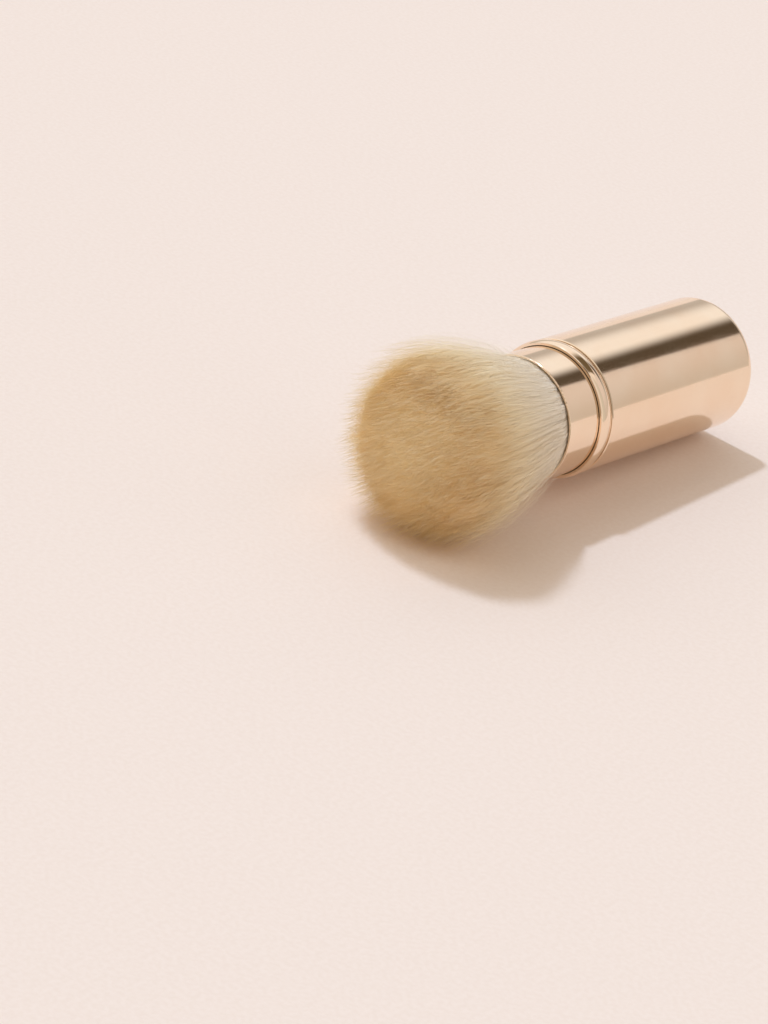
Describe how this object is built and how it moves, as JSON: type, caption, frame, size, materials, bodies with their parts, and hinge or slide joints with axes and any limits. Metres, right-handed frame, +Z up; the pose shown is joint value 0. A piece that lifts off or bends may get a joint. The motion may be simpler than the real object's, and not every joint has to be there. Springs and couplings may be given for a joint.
{
  "type": "retractable powder brush",
  "caption": "Retractable powder brush: round soft hair head in a gold cylindrical case, with a gold sleeve that slides out over the hair.",
  "frame": {"origin": "bottom centre of the bounding box: on the table that the brush lies on, halfway along its length", "axes": "+Z up, the hair towards -Y and the case's closed end towards +Y, across along X; the brush's own axis rises 2.85 degrees towards the hair, because it rests on the hair's belly and on the case's rear corner"},
  "size_m": [0.0432, 0.121, 0.0432],
  "materials": {
    "gold_aluminium": "drawn aluminium, polished and anodised champagne gold",
    "gold_bead": "polished champagne gold anodising, brighter than the case",
    "ferrule_aluminium": "bare satin aluminium",
    "ivory_plastic": "moulded ABS, matt",
    "slide_plastic": "moulded acetal, satin",
    "weight_steel": "turned steel, zinc plated",
    "screw_steel": "nickel plated steel",
    "soft_rubber": "soft black rubber",
    "felt": "pressed wool felt, cream",
    "set_glue": "set clear amber epoxy",
    "binding_thread": "waxed cotton thread, wound flat",
    "brush_hair": "fine soft hair, cream at the root and golden tan at the tips"
  },
  "bodies": {
    "handle": {"case_shell": "gold_aluminium", "rim_bead": "gold_bead", "mouth_bush": "slide_plastic", "felt_ring": "felt", "base_plug": "ivory_plastic", "base_weight": "weight_steel", "weight_pad": "soft_rubber", "landing_ring": "soft_rubber", "front_cushion": "soft_rubber", "centre_post": "ivory_plastic", "post_washer": "screw_steel", "post_screw": "screw_steel", "ferrule_carrier": "ivory_plastic", "carrier_screw": "screw_steel", "ferrule": "ferrule_aluminium", "glue_plug": "set_glue", "root_tie": "binding_thread", "hair_tuft": "brush_hair"},
    "sleeve": {"sleeve_shell": "gold_aluminium", "sleeve_liner": "ivory_plastic", "slider_hub": "slide_plastic", "friction_ring": "soft_rubber"}
  },
  "joints": [
    {"name": "sleeve_slide", "type": "slide", "parent": "handle", "child": "sleeve", "axis": [0, -0.9988, 0.0498], "range_m": [0, 0.0454], "deforming": ["hair_tuft"]}
  ]
}
